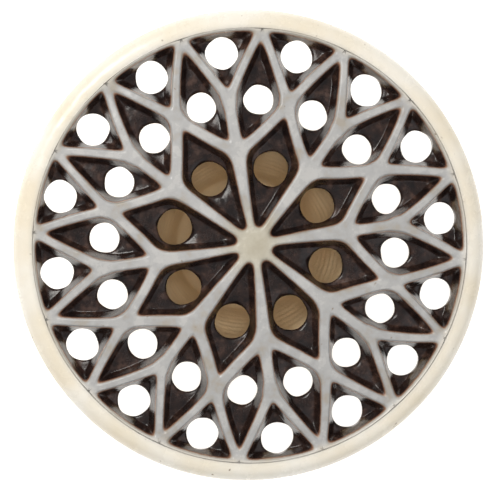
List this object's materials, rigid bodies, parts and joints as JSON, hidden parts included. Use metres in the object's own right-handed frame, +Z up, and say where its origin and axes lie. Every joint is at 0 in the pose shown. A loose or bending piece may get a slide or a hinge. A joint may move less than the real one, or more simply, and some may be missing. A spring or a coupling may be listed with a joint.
{
  "type": "flower frog",
  "caption": "Round domed ceramic flower frog: an ivory rib rosette with dark wells and punched stem holes, a rolled rim and a hollow cup foot.",
  "frame": {"origin": "centre of the flat underside of the foot", "axes": "+Z up through the hub of the pierced top; one spoke of the rosette lies 8.1 degrees from +X towards +Y"},
  "size_m": [0.1142, 0.1142, 0.04],
  "materials": {
    "ivory_glaze": "clear gloss glaze over ivory clay, slightly mottled",
    "brown_stain": "dark brown stain under a clear gloss glaze, rubbed thin near the rib edges",
    "buff_glaze": "semi-matt clear glaze over buff clay, bare on the resting face",
    "joining_slip": "smoothed by hand, semi-matt"
  },
  "bodies": {
    "root": {"rim": "ivory_glaze", "hub": "ivory_glaze", "spokes": "ivory_glaze", "inner_ribs": "ivory_glaze", "outer_ribs": "ivory_glaze", "well_floors": "ivory_glaze", "well_stain": "brown_stain", "foot_cup": "buff_glaze", "luting_coil": "joining_slip"}
  },
  "joints": []
}
